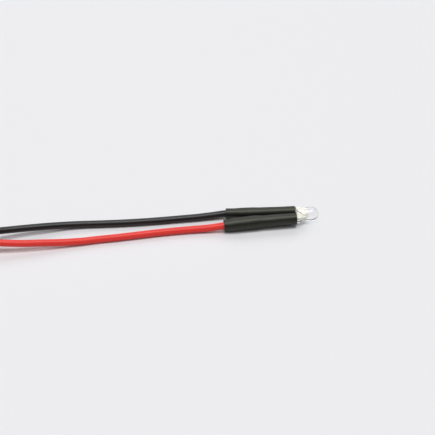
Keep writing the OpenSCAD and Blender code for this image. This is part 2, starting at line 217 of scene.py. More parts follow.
# %% The finish builder
class Finish:
    def __init__(self, name):
        self.material = bpy.data.materials.new(name)
        self.material.use_nodes = True
        self.tree = self.material.node_tree
        self.tree.nodes.clear()

    def node(self, kind, settings=None, sockets=None, out=0):
        made = self.tree.nodes.new(kind)
        for key, value in (settings or {}).items():
            if key == "stops":
                self.set_stops(made.color_ramp, value)
            else:
                setattr(made, key, value)
        for key, value in (sockets or {}).items():
            if isinstance(value, Level):
                self.tree.links.new(value.socket, made.inputs[key])
            else:
                made.inputs[key].default_value = value
        return Level(self, made.outputs[out]) if made.outputs else None

    def set_stops(self, ramp, stops):
        """Hard steps of colour: each stop is the place where its colour begins."""
        ramp.interpolation = "CONSTANT"
        while len(ramp.elements) < len(stops):
            ramp.elements.new(0.5)
        for element, (place, colour) in zip(ramp.elements, stops):
            element.position, element.color = place, (*colour, 1)

    def surface(self, **sockets):
        """A Principled shader, whose sockets are named with underscores."""
        named = {key.replace("_", " "): value for key, value in sockets.items()}
        return self.node("ShaderNodeBsdfPrincipled", None, named)

    def done(self, shader):
        self.node("ShaderNodeOutputMaterial", None, {"Surface": shader})
        print("finish", self.material.name, "has", len(self.tree.nodes), "nodes")
        return self.material


def paint(material, *pieces):
    for obj in pieces:
        obj.data.materials.clear()
        obj.data.materials.append(material)


# %% [markdown]
# ## The patterns that the finishes share
#
# Five things are enough for all the finishes here: a place to read a pattern at, smooth noise whose
# bumps have a known size, a soft threshold, a mix of two colours, and a bump of a known depth. Sizes
# are real ones, so that a grain of 0.1 mm looks the same on a wire and on a lens.

# %% Patterns
def place(f, stretch=(1, 1, 1), uv=False):
    """Where a point is: in metres in the CAD frame, or on the piece's own UV map."""
    source = f.node("ShaderNodeTexCoord", out="UV" if uv else "Object")
    return f.node("ShaderNodeMapping", None, {"Vector": source, "Scale": stretch})


def grain(f, size_mm, where=None, detail=3.0):
    """Smooth noise from 0 to 1 whose bumps are about size_mm across."""
    return f.node("ShaderNodeTexNoise", None, {
        "Vector": where or place(f), "Scale": 1 / (size_mm * MM), "Detail": detail, "Roughness": 0.55})


def between(f, value, low, high):
    """0 below low, 1 above high, and smooth in between."""
    return f.node("ShaderNodeMapRange", {"interpolation_type": "SMOOTHSTEP"},
                  {"Value": value, "From Min": low, "From Max": high})


def blend(f, mask, a, b):
    """Colour a where the mask is 0 and colour b where it is 1."""
    a, b = ((*c, 1) if isinstance(c, tuple) else c for c in (a, b))
    return f.node("ShaderNodeMix", {"data_type": "RGBA"}, {0: mask, 6: a, 7: b}, out=2)


def bump(f, height, depth_mm):
    return f.node("ShaderNodeBump", None, {"Height": height, "Distance": depth_mm * MM})


print("patterns ready")

# %% [markdown]
# ## Metals
#
# All the metals here are one recipe: two close shades of the same metal, mixed by a fine grain and a
# wide, soft stain, with both in the roughness and the grain in a very shallow bump. What sets them
# apart is the numbers. Plating on a stamped frame is soft and nearly white, hot-dipped tin is
# brighter and wavy, solder is smooth, drawn gold is smooth and warm, and silver glue is a dull paste.

# %% One recipe for metals
def metal(name, light, dark, roughness, grain_mm, bump_mm, metallic=1.0):
    f = Finish(name)
    fine = grain(f, grain_mm)
    stain = between(f, grain(f, 12 * grain_mm), 0.45, 0.75)
    return f.done(f.surface(
        Base_Color=blend(f, fine * 0.7 + stain * 0.3, light, dark), Metallic=metallic,
        Roughness=roughness + 0.12 * fine + 0.08 * stain, Normal=bump(f, fine, bump_mm)))


plated = metal("silver_plate", light=(.90, .885, .79), dark=(.845, .825, .72),
               roughness=0.46, grain_mm=0.12, bump_mm=0.004, metallic=0.15)
tinned = metal("hot_dipped_tin", light=(.80, .79, .76), dark=(.66, .65, .62),
               roughness=0.22, grain_mm=0.25, bump_mm=0.012)
solder = metal("smooth_solder", light=(.76, .76, .77), dark=(.60, .60, .62),
               roughness=0.16, grain_mm=0.5, bump_mm=0.02)
gold = metal("drawn_gold", light=(.98, .80, .42), dark=(.92, .72, .33),
             roughness=0.20, grain_mm=0.05, bump_mm=0.001)
glue = metal("silver_filled_glue", light=(.72, .72, .70), dark=(.48, .48, .46),
             roughness=0.45, grain_mm=0.03, bump_mm=0.006, metallic=0.7)

# %% [markdown]
# ## A smooth curve through chosen points
#
# A wire is a fixed length of something springy, so its route is one smooth curve. This spline passes
# through every given point, and it spaces its knots by the root of each distance, which keeps it from
# overshooting where points are unevenly spaced. The curve is then cut into short equal steps, so that
# rings along it stand evenly.

# %% Smooth a route
def spline(points, step=0.35, fineness=24):
    """Points a fixed step apart on a smooth curve through the given ones."""
    p = np.array(points, float)
    p = np.vstack([2 * p[0] - p[1], p, 2 * p[-1] - p[-2]])
    fine = []
    for a, b, c, d in zip(p[:-3], p[1:-2], p[2:-1], p[3:]):
        t0, t1 = 0.0, np.linalg.norm(b - a) ** 0.5
        t2 = t1 + np.linalg.norm(c - b) ** 0.5
        t3 = t2 + np.linalg.norm(d - c) ** 0.5
        for t in np.linspace(t1, t2, fineness, endpoint=False):
            ab = a + (b - a) * (t - t0) / (t1 - t0)
            bc = b + (c - b) * (t - t1) / (t2 - t1)
            cd = c + (d - c) * (t - t2) / (t3 - t2)
            abc = ab + (bc - ab) * (t - t0) / (t2 - t0)
            bcd = bc + (cd - bc) * (t - t1) / (t3 - t1)
            fine.append(abc + (bcd - abc) * (t - t1) / (t2 - t1))
    fine = np.array(fine + [p[-2]])
    far = distances(fine)
    even = np.linspace(0, far[-1], max(2, int(far[-1] / step)) + 1)
    return np.column_stack([np.interp(even, far, fine[:, k]) for k in range(3)])


def distances(path):
    """How far along the path each of its points is."""
    return np.concatenate([[0], np.cumsum(np.linalg.norm(np.diff(path, axis=0), axis=1))])


print("a straight 10 mm is cut into", len(spline([(0, 0, 0), (5, 0, 0), (10, 0, 0)])) - 1, "steps")

# %% [markdown]
# ## The two sleeves
#
# The sleeves decide where the wires start. Each leaves the lens at one lead, half of the usual
# 2.54 mm pitch from the axis, fans out a little and drops to the surface. A sleeve swells where it
# lies over something thick: a solder joint in the cathode's, a small resistor in the anode's. All
# sizes are in millimetres, and the places along a sleeve are measured from the lens.

# %% Sizes and directions of the sleeves
LENS_BASE = float(box_mm("led_lens")[0][0])
LEAD_PITCH = 2.54
SLEEVE_WALL = 0.22


def sleeve_run(side, splay, drop, **sizes):
    """Where a sleeve starts, which way it runs, and its sizes. Angles are in degrees."""
    s, d = math.radians(splay), math.radians(drop)
    way = np.array([-math.cos(d) * math.cos(s), -math.cos(d) * math.sin(s), -math.sin(d)])
    return dict(start=np.array([LENS_BASE, side * LEAD_PITCH / 2, 0.0]), way=way, **sizes)


CATHODE = sleeve_run(side=1, splay=-6.6, drop=2.7295, length=14.7, wire_from=9.0,
                     d=2.2, swollen_d=2.36, swell_at=10.1, swell_flat=1.1, swell_ramp=1.8)
ANODE = sleeve_run(side=-1, splay=0.7, drop=1.6704, length=15.5, wire_from=14.4,
                   d=2.5, swollen_d=2.82, swell_at=11.2, swell_flat=2.2, swell_ramp=2.0)
for name, run in (("cathode", CATHODE), ("anode", ANODE)):
    run["mouth"] = run["start"] + run["way"] * run["length"]
    print(name, "sleeve ends at", [round(float(c), 2) for c in run["mouth"]])

# %% [markdown]
# ## The routes
#
# Each wire comes straight out of its sleeve, sinks to the surface and runs along it. Then it enters a flat
# hank, which stores the length that nobody needs to see. The free points are listed and stand in the CAD
# source too; heights are above the surface. The hank's turns follow a rule: in on top, down round the far
# fold, and back underneath.

# %% Lay out the routes
WIRE_R = 0.75
HANK_NEAR, HANK_FAR, HANK_Y = -73.5, -87.5, 3.5
BLACK_TURN, RED_TURN = 4.5, 6.1
LOW, HIGH = 1.05, 2.6

free_black = [
    (-18.5, 2.9, .9), (-22, 2.75, .8), (-26, 2.7, .75), (-30, 2.6, .75), (-34, 2.6, .75),
    (-38, 2.7, .75), (-42, 2.9, .75), (-46, 3.1, .8), (-50, 3.0, 1.0), (-54, 2.5, 1.4),
    (-58, 2.0, 1.7), (-62, 1.3, 2.1), (-66, .4, 2.6), (-69.5, -.5, 2.6),
]
free_red = [
    (-19.5, -1.4, 1.0), (-23, -1.25, .8), (-27, -1.3, .75), (-31, -1.5, .75), (-35, -1.8, .75),
    (-39, -2.1, .75), (-43, -2.3, .75), (-47, -2.65, .85), (-51, -2.9, 1.1), (-55, -3.1, 1.5),
    (-59, -3.2, 1.8), (-63, -3.1, 2.2), (-67, -2.8, 2.6), (-70.5, -2.6, 2.6),
]
tail_black = [(-90.5, -.9, .95), (-94, -.4, .8), (-97.5, .3, .75), (-100.5, .3, .75)]
tail_red = [(-90.5, -2.7, .95), (-94, -3.0, .8), (-97, -3.0, .75)]


def ease(t):
    """A smooth step from 0 to 1."""
    t = min(1.0, max(0.0, t))
    return t * t * (3 - 2 * t)


def hank_turns(r):
    """One wire's share of the hank, at a distance r from the hank's middle line."""
    way = [(x, HANK_Y - r, HIGH) for x in np.linspace(HANK_NEAR, HANK_FAR, 5)]
    for a in np.linspace(0, 180, 13)[1:]:
        height = HIGH + (LOW - HIGH) * ease((a - 60) / 90)
        a = math.radians(a)
        way.append((HANK_FAR - r * math.sin(a), HANK_Y - r * math.cos(a), height))
    way += [(x, HANK_Y + r, LOW) for x in np.linspace(HANK_FAR, HANK_NEAR, 5)[1:]]
    for a in np.linspace(0, 180, 13)[1:]:
        a = math.radians(a)
        way.append((HANK_NEAR + r * math.sin(a), HANK_Y + r * math.cos(a), LOW))
    return way + [(x, HANK_Y - r, LOW) for x in np.linspace(HANK_NEAR, HANK_FAR, 5)[1:]]


def route(run, free, turn_r, tail):
    inside = [run["start"] + run["way"] * s for s in np.linspace(run["wire_from"], run["length"], 3)]
    rest = [(x, y, FLOOR + h) for x, y, h in free + hank_turns(turn_r) + tail]
    return spline([tuple(p) for p in inside] + rest)


black_path = route(CATHODE, free_black, BLACK_TURN, tail_black)
red_path = route(ANODE, free_red, RED_TURN, tail_red)
print("centrelines of", round(distances(black_path)[-1], 1), "and", round(distances(red_path)[-1], 1), "mm")

# %% [markdown]
# ## PVC insulation
#
# Extruded PVC is smooth and satin. The die leaves very faint lines along it, handling leaves small
# cloudy patches, and the colour goes all the way through. The lines are noise on the wire's own UV
# map, stretched forty times along it; the patches are noise in space. The light rather than the
# colour shows them, so most of it goes into the roughness.

# %% The two colours of insulation
def extruded(name, light, dark, roughness, gloss):
    f = Finish(name)
    lines = grain(f, 0.30, place(f, (0.025, 1, 1), uv=True))
    cloud = grain(f, 2.4, detail=2.0)
    scuff = between(f, grain(f, 0.5, detail=6.0), 0.62, 0.74)
    return f.done(f.surface(
        Base_Color=blend(f, cloud * 0.8 + scuff * 0.2, light, dark),
        Roughness=roughness + 0.10 * lines + 0.12 * scuff, Specular_IOR_Level=gloss,
        Normal=bump(f, lines * 0.6 + cloud * 0.4, 0.010)))


red_pvc = extruded("red_pvc", light=(.82, .040, .028), dark=(.74, .028, .022), roughness=0.34, gloss=0.40)
black_pvc = extruded("black_pvc", light=(.008, .008, .009), dark=(.005, .005, .0055),
                     roughness=0.30, gloss=0.45)

# %% [markdown]
# ## Rings along a path
#
# The insulation is a mesh tube rather than a bevelled curve, so that it can carry its own UV map,
# with one coordinate along the wire and one round it. Each ring stands square to the path, and it
# turns no more than the path does, so the drawn lines don't spiral. A ring starts at the underside,
# where the map's seam is out of sight.

# %% Rings and their map
def ring_frames(path):
    """Two directions across the path at each of its points, without added twist."""
    along = np.gradient(path, axis=0)
    along /= np.linalg.norm(along, axis=1)[:, None]
    across = np.cross([0, 0, 1], along[0])
    frames = []
    for t in along:
        across = across - t * (across @ t)
        across /= np.linalg.norm(across)
        frames.append((across.copy(), np.cross(t, across)))
    return frames


def tube_rings(path, radii, sides):
    turn = [2 * math.pi * k / sides - math.pi / 2 for k in range(sides)]
    return [[p + r * (math.cos(a) * u + math.sin(a) * v) for a in turn]
            for p, r, (u, v) in zip(path, radii, ring_frames(path))]


def run_uv(obj, far, sides, around):
    """A UV map in metres: how far along each ring's path, and how far round it."""
    mesh = obj.data
    uv = mesh.uv_layers.new(name="along_and_round")
    for face in mesh.polygons:
        spots = [divmod(v, sides) for v in face.vertices]
        wraps = {k for ring, k in spots} >= {0, sides - 1}
        for loop, (ring, k) in zip(face.loop_indices, spots):
            share = 1.0 if wraps and k == 0 else k / sides
            uv.data[loop].uv = (far[min(ring, len(far) - 1)] * MM, share * around * MM)


print("a ring of 28 points on a wire has sides of", round(2 * math.pi * WIRE_R / 28, 2), "mm")

# %% [markdown]
# ## Sweep the insulation
#
# Each wire is one tube along its whole route, in the place of the CAD model's three lengths of it.
# The cut end is a little rounded and pinched where the stripping tool held it.

# %% Sweep both wires
def insulation(name, path, colour, slot, finish, sides=28):
    radii = [WIRE_R] * len(path)
    radii[-2:] = [WIRE_R - 0.015, WIRE_R - 0.1]
    obj = piece(name, *skin(tube_rings(path, radii, sides)), slot)
    run_uv(obj, distances(path), sides, 2 * math.pi * WIRE_R)
    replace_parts(obj, colour + "_wire", colour + "_wire_hank", colour + "_wire_tail")
    paint(finish, obj)
    return obj


black_wire = insulation("black_insulation", black_path, "black", "black_insulation", black_pvc)
red_wire = insulation("red_insulation", red_path, "red", "red_insulation", red_pvc)

# %% [markdown]
# ## A small builder for geometry trees
#
# Strands repeat round a wire, so a Geometry Nodes tree makes them. The tree gets named inputs, so the
# same one also serves the twisted ends of the tie. A modifier keeps its inputs by the socket's
# identifier, and they are set before the object is first evaluated. The result is turned into a plain
# mesh, because instances don't survive an export.

# %% Build and run a tree
def add_node(tree, kind, settings=None, sockets=None):
    """Adds a node, sets its properties and then its sockets: a value, or another socket to link."""
    node = tree.nodes.new(kind)
    for key, value in (settings or {}).items():
        setattr(node, key, value)
    for key, value in (sockets or {}).items():
        if isinstance(value, bpy.types.NodeSocket):
            tree.links.new(value, node.inputs[key])
        else:
            node.inputs[key].default_value = value
    return node.outputs


def geometry_tree(name, inputs):
    """An empty Geometry Nodes group with named inputs. Returns it and its inputs' sockets."""
    tree = bpy.data.node_groups.new(name, "GeometryNodeTree")
    tree.interface.new_socket("Geometry", in_out="OUTPUT", socket_type="NodeSocketGeometry")
    for label, kind in inputs.items():
        tree.interface.new_socket(label, in_out="INPUT", socket_type="NodeSocket" + kind)
    return tree, tree.nodes.new("NodeGroupInput").outputs


def run_tree(name, tree, values):
    """Runs the group on an empty mesh and returns an object with the result as a plain mesh."""
    holder = bpy.data.objects.new(name, bpy.data.meshes.new(name))
    bpy.context.scene.collection.objects.link(holder)
    modifier = holder.modifiers.new("made", "NODES")
    modifier.node_group = tree
    for item in tree.interface.items_tree:
        if item.in_out == "INPUT":
            modifier[item.identifier] = values[item.name]
    graph = bpy.context.evaluated_depsgraph_get()
    made = bpy.data.meshes.new_from_object(holder.evaluated_get(graph), depsgraph=graph)
    holder.modifiers.remove(modifier)
    holder.data = made
    made.name = name
    return holder


print("ready to grow trees")

# %% [markdown]
# ## Winding strands
#
# Hook-up wire of this gauge has seven strands: one straight in the middle, and six wound round it at
# their own thickness from it. The tree draws one spiral as a curve, places it once for each strand,
# turned by its share of a full turn, and adds the straight core. Then all the curves get a round
# section with closed ends. The tree ends in Realize Instances and Set Material.

# %% The tree that winds strands
strand_tree, given = geometry_tree("wound_strands", {
    "Strands": "Int", "Strand radius": "Float", "Winding radius": "Float", "Length": "Float",
    "Turns": "Float", "Sides": "Int", "Finish": "Material"})
spiral = add_node(strand_tree, "GeometryNodeCurveSpiral", None, {
    "Resolution": 40, "Rotations": given["Turns"], "Start Radius": given["Winding radius"],
    "End Radius": given["Winding radius"], "Height": given["Length"]})
one_each = add_node(strand_tree, "GeometryNodePoints", None, {"Count": given["Strands"]})
number = add_node(strand_tree, "GeometryNodeInputIndex")
share = add_node(strand_tree, "ShaderNodeMath", {"operation": "DIVIDE"}, {0: number[0], 1: given["Strands"]})
angle = add_node(strand_tree, "ShaderNodeMath", {"operation": "MULTIPLY"}, {0: share[0], 1: 2 * math.pi})
clocked = add_node(strand_tree, "ShaderNodeCombineXYZ", None, {"Z": angle[0]})
wound = add_node(strand_tree, "GeometryNodeInstanceOnPoints", None, {
    "Points": one_each[0], "Instance": spiral[0], "Rotation": clocked[0]})
loose = add_node(strand_tree, "GeometryNodeRealizeInstances", None, {0: wound[0]})
tip = add_node(strand_tree, "ShaderNodeCombineXYZ", None, {"Z": given["Length"]})
core = add_node(strand_tree, "GeometryNodeCurvePrimitiveLine", None, {"End": tip[0]})
curves = add_node(strand_tree, "GeometryNodeJoinGeometry", None, {0: loose[0]})
strand_tree.links.new(core[0], curves[0].node.inputs[0])
section = add_node(strand_tree, "GeometryNodeCurvePrimitiveCircle", None, {
    "Resolution": given["Sides"], "Radius": given["Strand radius"]})
thick = add_node(strand_tree, "GeometryNodeCurveToMesh", None, {
    "Curve": curves[0], "Profile Curve": section[0], "Fill Caps": True})
whole = add_node(strand_tree, "GeometryNodeRealizeInstances", None, {0: thick[0]})
dressed = add_node(strand_tree, "GeometryNodeSetMaterial", None, {
    "Geometry": whole[0], "Material": given["Finish"]})
add_node(strand_tree, "NodeGroupOutput", None, {0: dressed[0]})
print("the strand tree has", len(strand_tree.nodes), "nodes")

# %% [markdown]
# ## The tinned ends
#
# The far ends are stripped for 5 mm and dipped in tin, which leaves the strands' lay visible. They
# start a little inside the insulation, and a third of their bundle's radius is one strand.

# %% Lay the strands at the wires' ends
BARE, TUCKED = 5.0, 0.2
STRAND_R = frame["record"]["mounts"][2]["dims"]["r_mm"] / 3


def wound_piece(name, node, slot, at, turn, **sizes):
    """Strands from the tree, turned about Y and set down at a place, standing for a CAD node."""
    obj = run_tree(name, strand_tree, sizes_in_metres(sizes))
    move = Matrix.Translation(Vector(at) * MM) @ Matrix.Rotation(turn, 4, "Y")
    obj.data.transform(move)
    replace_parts(settle(obj), node)
    return obj


def sizes_in_metres(sizes):
    lengths = ("Strand radius", "Winding radius", "Length")
    named = {key.replace("_", " ").capitalize(): value for key, value in sizes.items()}
    return {key: value * MM if key in lengths else value for key, value in named.items()}


def tinned_end(colour, path):
    return wound_piece(colour + "_tinned_end", colour + "_wire_end", "tinned_copper",
                       at=path[-1] + (TUCKED, 0, 0), turn=-math.pi / 2, strands=6, strand_radius=STRAND_R,
                       winding_radius=2 * STRAND_R, length=BARE + TUCKED, turns=0.42, sides=12, finish=tinned)


black_end = tinned_end("black", black_path)
red_end = tinned_end("red", red_path)

# %% [markdown]
# ## The tie's plastic
#
# A twist tie is a strip of matt plastic with an iron wire in it. It is finely ribbed across, and it
# picks up a little dirt, so the white isn't quite even.

# %% The tie's finish
f = Finish("tie_strip_plastic")
ribs = grain(f, 0.12, place(f, (6, 1, 1)))
dirt = between(f, grain(f, 1.4, detail=5.0), 0.50, 0.75)
tie_plastic = f.done(f.surface(
    Base_Color=blend(f, dirt * 0.8 + ribs * 0.2, (.86, .86, .84), (.70, .69, .66)),
    Roughness=0.36 + 0.14 * ribs, Normal=bump(f, ribs, 0.012)))

# %% [markdown]
# ## The twist tie
#
# The strip goes round both runs of the hank: under the wires, up the far side and across the top.
# Its flat section, with a raised rib over the wire core, is swept round that outline, whose corners
# follow from the hank's own sizes. The twisted ends are two thick strands from the strand tree.

# %% Wrap the tie
TIE_WIDTH, TIE_GAP = 2.4, 0.13
TIE_X = box_mm("hank_tie")[0][0] + TIE_WIDTH / 2
TIE_OUT = RED_TURN + WIRE_R
TIE_IN = BLACK_TURN - WIRE_R
tie_corners = [(-TIE_OUT, 0.33), (TIE_OUT, 0.33), (TIE_OUT, LOW + WIRE_R), (-TIE_IN, HIGH + WIRE_R),
               (-TIE_OUT, HIGH + WIRE_R)]
tie_section = [(-1.2, -.05), (-1.17, -.1), (1.17, -.1), (1.2, -.05), (1.2, .02), (1.12, .05),
               (.35, .06), (.18, .15), (0, .19), (-.18, .15), (-.35, .06), (-1.12, .05), (-1.2, .02)]


def fanned(corners, steps=8):
    """Each corner of a closed outline, once for every direction that fans out of it."""
    fans = []
    for i, here in enumerate(corners):
        before, after = corners[i - 1], corners[(i + 1) % len(corners)]
        first = math.atan2(here[1] - before[1], here[0] - before[0]) - math.pi / 2
        last = math.atan2(after[1] - here[1], after[0] - here[0]) - math.pi / 2
        turn = (last - first) % (2 * math.pi)
        fans += [(*here, first + turn * t) for t in np.linspace(0, 1, steps)]
    return fans


def tie_ring(y, h, a):
    """The strip's section, standing out from one point of the outline in the direction a."""
    return [(TIE_X + across,
             HANK_Y + y + (TIE_GAP + out) * math.cos(a),
             FLOOR + h + (TIE_GAP + out) * math.sin(a)) for across, out in tie_section]


tie_rings = [tie_ring(*corner) for corner in fanned(tie_corners)]
tie = piece("tie_strip", *skin(tie_rings, loop=True), "twist_tie")
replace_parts(tie, "hank_tie")
paint(tie_plastic, tie)
twist = wound_piece("tie_twist", "hank_tie", "twist_tie", at=(TIE_X, HANK_Y + RED_TURN, FLOOR + 2.6),
                    turn=math.pi / 2, strands=2, strand_radius=0.25, winding_radius=0.24, length=6,
                    turns=3.2, sides=12, finish=tie_plastic)

# %% [markdown]
#
# Each wire's real length runs from the sleeve's mouth to the tip of the tinned end. Here it is printed.

# %% Print the lengths
for wire, path, on_it, run, length in (
    (black_wire, black_path, [black_end], CATHODE, 146.8),
    (red_wire, red_path, [red_end, tie, twist], ANODE, 152.1),
):
    tuple(run["mouth"] * MM)
    length * MM
    [tuple(p * MM) for p in path]
    print(wire.name, "is", length, "mm long")

# %% [markdown]
# ## The clear lens
#
# The body is one moulding of clear epoxy, cast round the lead frame. It is a solid of revolution with
# one flat on its flange, which marks the cathode. The CAD solid has hollows where the metal sits,
# which is right for a CAD model, but a ray tracer bends light at every surface, so here the epoxy is
# one solid skin and the metal simply stands inside it. The outline is turned with rounded edges,
# since a moulding has no perfectly sharp ones.

# %% Turn the lens
(BASE_X, _, _), (TIP_X, FLAT_Y, _) = box_mm("led_lens")
BODY_R, FLANGE_R, EDGE, FILLET = 1.5, 1.8, 0.1, 0.07
DOME_X = TIP_X - BODY_R


def arc(cx, cr, radius, start, stop, steps):
    """Points (x, r) on a circle in the outline's plane; angles are from +X towards +r."""
    return [(cx + radius * math.cos(math.radians(a)), cr + radius * math.sin(math.radians(a)))
            for a in np.linspace(start, stop, steps)]


lens_outline = (
    [(BASE_X, r) for r in (0.5, 1.0, 1.4, 1.6)]
    + arc(BASE_X + EDGE, FLANGE_R - EDGE, EDGE, 180, 90, 6)
    + [(BASE_X * 0.7, FLANGE_R), (BASE_X * 0.4, FLANGE_R)]
    + arc(-EDGE, FLANGE_R - EDGE, EDGE, 90, 0, 6)
    + [(0.0, BODY_R + 0.12)]
    + arc(FILLET, BODY_R + FILLET, FILLET, 180, 270, 5)
    + [(x, BODY_R) for x in np.linspace(0.4, DOME_X - 0.3, 5)]
    + arc(DOME_X, 0, BODY_R, 90, 2, 40)
)
lens_rings = []
for x, r in lens_outline:
    most_y = FLAT_Y if x < 0.03 else BODY_R
    turn = [2 * math.pi * k / 96 for k in range(96)]
    lens_rings.append([(x, min(r * math.cos(a), most_y), r * math.sin(a)) for a in turn])
lens = piece("epoxy_lens", *skin(lens_rings), "clear_epoxy")
lens.data.set_sharp_from_angle(angle=math.radians(40))
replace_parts(lens, "led_lens")

# %% [markdown]
# ## Clear epoxy
#
# Epoxy bends light a little more than acrylic does, which is what an index of 1.53 says. Its surface
# has the faint waves of a casting. A path tracer makes the shadow of a clear solid almost black, so
# for shadow rays, and for light that has already bounced off the floor, the surface is plain
# see-through, and the lens throws the pale shadow of a real one.

# %% The lens's finish
f = Finish("cast_epoxy")
clear = f.surface(Base_Color=(0.985, 0.99, 1.0, 1), Roughness=0.02, IOR=1.53, Transmission_Weight=1.0,
                  Normal=bump(f, grain(f, 1.6, detail=1.0), 0.01))
through = f.node("ShaderNodeBsdfTransparent", None, {"Color": (0.97, 0.98, 0.99, 1)})
shadow_ray = f.node("ShaderNodeLightPath", out="Is Shadow Ray")
bounced = f.node("ShaderNodeLightPath", out="Is Diffuse Ray")
straight = f.node("ShaderNodeMath", {"operation": "MAXIMUM"}, {0: shadow_ray * 0.95, 1: bounced})
paint(f.done(f.node("ShaderNodeMixShader", None, {0: straight, 1: clear, 2: through})), lens)

# %% [markdown]
# ## The lead frame
#
# The two leads, with the cup and the post inside the lens, are stamped from silver-plated sheet.
# Their CAD shapes are right, but stamped edges are rounded, and it is the rounded edge that catches
# the light. A copy of each node is merged, its flat faces are joined, and a narrow bevel goes on. The
# hair-thin bond wire and the glue under the chip keep their CAD meshes.

# %% Round the edges of stamped parts
def with_rounded_edges(name, node, width_mm):
    """A copy of a CAD node with bevelled edges, which stands for that node."""
    mesh = nodes[node].data.copy()
    tidy = bmesh.new()
    tidy.from_mesh(mesh)
    bmesh.ops.remove_doubles(tidy, verts=tidy.verts, dist=0.0001 * MM)
    bmesh.ops.dissolve_limit(tidy, angle_limit=math.radians(1), verts=tidy.verts, edges=tidy.edges)
    tidy.to_mesh(mesh)
    tidy.free()
    obj = bpy.data.objects.new(name, mesh)
    bpy.context.scene.collection.objects.link(obj)
    bevel = obj.modifiers.new("rounded", "BEVEL")
    bevel.width, bevel.segments = width_mm * MM, 2
    bevel.limit_method, bevel.angle_limit = "ANGLE", math.radians(35)
    graph = bpy.context.evaluated_depsgraph_get()
    made = bpy.data.meshes.new_from_object(obj.evaluated_get(graph), depsgraph=graph)
    obj.modifiers.clear()
    obj.data = made
    made.name = name
    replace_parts(settle(obj), node)
    made.set_sharp_from_angle(angle=math.radians(50))
    return obj


cathode = with_rounded_edges("cathode_frame", "cathode_lead", 0.02)
anode = with_rounded_edges("anode_frame", "anode_lead", 0.02)
paint(plated, cathode, anode)
paint(gold, nodes["bond_wire"])
paint(glue, nodes["chip_adhesive"])

# %% [markdown]
# ## The chip
#
# The chip is a sawn cube of a third of a millimetre, golden yellow and slightly striped on its sides
# by the saw, with one round metal pad in the middle of its top for the bond wire. The pad is a mask:
# everything within a short distance of the top's centre.

# %% The chip's finish
chip_low, chip_high = box_mm("led_chip")
pad_centre = (chip_high[0] * MM, *(chip_low + chip_high)[1:] / 2 * MM)
f = Finish("sawn_chip")
off_centre = f.node("ShaderNodeVectorMath", {"operation": "DISTANCE"}, {0: place(f), 1: pad_centre}, "Value")
pad = 1 - between(f, off_centre, 0.050 * MM, 0.056 * MM)
saw = grain(f, 0.02, place(f, (1, 6, 6)))
crystal = blend(f, saw, (.88, .80, .36), (.62, .52, .20))
paint(f.done(f.surface(Base_Color=blend(f, pad, crystal, (.98, .82, .45)), Metallic=pad,
                       Roughness=0.22 + 0.20 * saw, Normal=bump(f, saw, 0.001))), nodes["led_chip"])
print("chip of", chip_high - chip_low, "mm")

# %% [markdown]
# ## Shrunk polyolefin
#
# Heat-shrink tube is satin black with a hint of olive. Its highlights carry a painted olive tint, which
# stands for a warm light. It has drawn lines like the wire's, but finer and shorter, and the recovery from
# being stretched leaves it softly lumpy. Handling rubs it a little duller in patches.

# %% The sleeve's finish
f = Finish("black_shrink")
drawn = grain(f, 0.16, place(f, (0.08, 1, 1), uv=True))
lumpy = grain(f, 0.7, detail=2.0)
rubbed = between(f, grain(f, 0.9, detail=5.0), 0.58, 0.75)
shrunk = f.done(f.surface(
    Base_Color=blend(f, lumpy * 0.7 + rubbed * 0.3, (.0080, .0084, .0064), (.0052, .0056, .0040)),
    Roughness=0.38 + 0.10 * drawn + 0.08 * rubbed,
    # The specular tint paints an olive cast of warm light into the highlights.
    Specular_IOR_Level=0.5, Specular_Tint=(0.96, 1.0, 0.84, 1),
    Normal=bump(f, drawn * 0.35 + lumpy * 0.65, 0.016)))

# %% [markdown]
# ## One ring of a sleeve
#
# Heat-shrink tube closes round whatever lies in it, so its outline tells what is inside. A ring's
# radius is the tube's own, plus the swelling, plus smooth noise of a few hundredths of a millimetre,
# plus a crease where there is one. The whole sleeve also bows a little. At the lens it is pushed up
# against the flat base, so the first rings are sheared to lie parallel to it.

# %% The rule for a ring
RING_SIDES = 72
STAND_OFF, SHEARED = 0.03, 3.0
LUMP, RIPPLE = 0.035, 0.010


def swelling(run, s):
    return ease(1 - (abs(s - run["swell_at"]) - run["swell_flat"]) / run["swell_ramp"])


def crease_height(s, a, crease):
    """A narrow ridge along the sleeve. Angles are in degrees from the top, towards the viewer."""
    off = (a - math.radians(crease["angle"]) + math.pi) % (2 * math.pi) - math.pi
    along = ease((s - crease["start"]) / 1.2) * ease((crease["stop"] - s) / 1.2)
    return crease["height"] * along * math.exp(-(off / math.radians(crease["width"])) ** 2)


def sleeve_ring(run, s, inset, seed, bow, crease):
    way = run["way"]
    side = np.cross([0, 0, 1], way)
    side /= np.linalg.norm(side)
    up = np.cross(way, side)
    middle = run["start"] + way * s + math.sin(math.pi * s / run["length"]) * (bow[0] * up + bow[1] * side)
    base = (run["d"] + (run["swollen_d"] - run["d"]) * swelling(run, s)) / 2
    points = []
    for k in range(RING_SIDES):
        a = 2 * math.pi * k / RING_SIDES + math.pi
        lump = noise.noise(Vector((s * 0.3, 0.8 * math.cos(a), 0.8 * math.sin(a) + seed)))
        ripple = noise.noise(Vector((s * 1.1, 2 * math.cos(a) + seed, 2 * math.sin(a))))
        r = base + LUMP * lump + RIPPLE * ripple + crease_height(s, a, crease) - inset
        out = r * (math.cos(a) * up + math.sin(a) * side)
        points.append(middle + out - way * ease(1 - (s - STAND_OFF) / SHEARED) * out[0] / way[0])
    return points


print("the cathode's sleeve is", CATHODE["swollen_d"] - CATHODE["d"], "mm thicker over the joint")

# %% [markdown]
# ## Shrink the sleeves
#
# The rings run down the outside, round the rim at the mouth, back up the inside and round the rim at
# the lens, so the wall has its real thickness and the mouth shows it.

# %% Shrink both sleeves
RIM = 0.07


